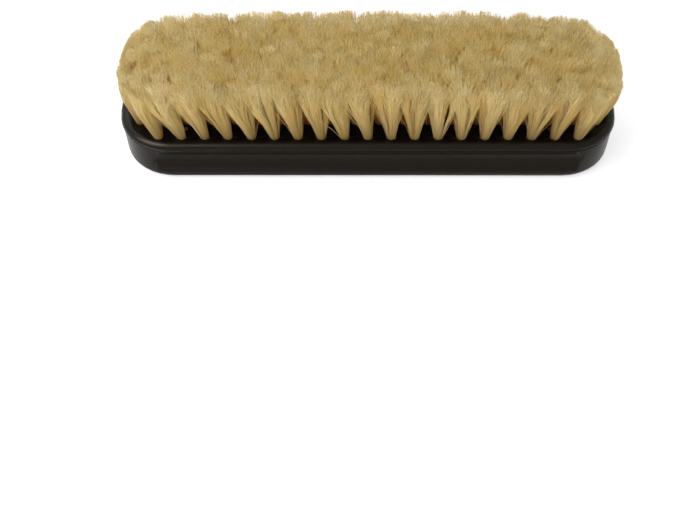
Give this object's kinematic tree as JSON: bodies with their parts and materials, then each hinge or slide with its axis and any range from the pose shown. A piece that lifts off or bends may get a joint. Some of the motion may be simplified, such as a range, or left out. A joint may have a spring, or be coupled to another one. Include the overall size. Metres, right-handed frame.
{
  "type": "horsehair bristle brush",
  "caption": "Hand brush with a lacquered wooden handle, finger grooves and a dense flat bed of horsehair tufts, for polishing shoes and brushing cloth.",
  "frame": {"origin": "middle of the flat palm face, which the brush lies on with its bristles up", "axes": "+X along the brush, +Y across it, +Z from the palm face to the bristle tips"},
  "size_m": [0.18, 0.0488, 0.0393],
  "materials": {
    "board_lacquer": "satin black lacquer over wood",
    "horsehair": "natural light golden horsehair, loose strands",
    "wire_steel": "drawn wire",
    "pin_brass": "dull"
  },
  "bodies": {
    "root": {"palm_board": "board_lacquer", "bristle_board": "board_lacquer", "tuft_row_1": "horsehair", "tuft_row_2": "horsehair", "tuft_row_3": "horsehair", "tuft_row_4": "horsehair", "tuft_row_5": "horsehair", "tuft_row_6": "horsehair", "draw_wire_row_1": "wire_steel", "draw_wire_row_2": "wire_steel", "draw_wire_row_3": "wire_steel", "draw_wire_row_4": "wire_steel", "draw_wire_row_5": "wire_steel", "draw_wire_row_6": "wire_steel", "board_pin_1": "pin_brass", "board_pin_2": "pin_brass", "board_pin_3": "pin_brass", "board_pin_4": "pin_brass", "board_pin_5": "pin_brass", "board_pin_6": "pin_brass"}
  },
  "joints": []
}
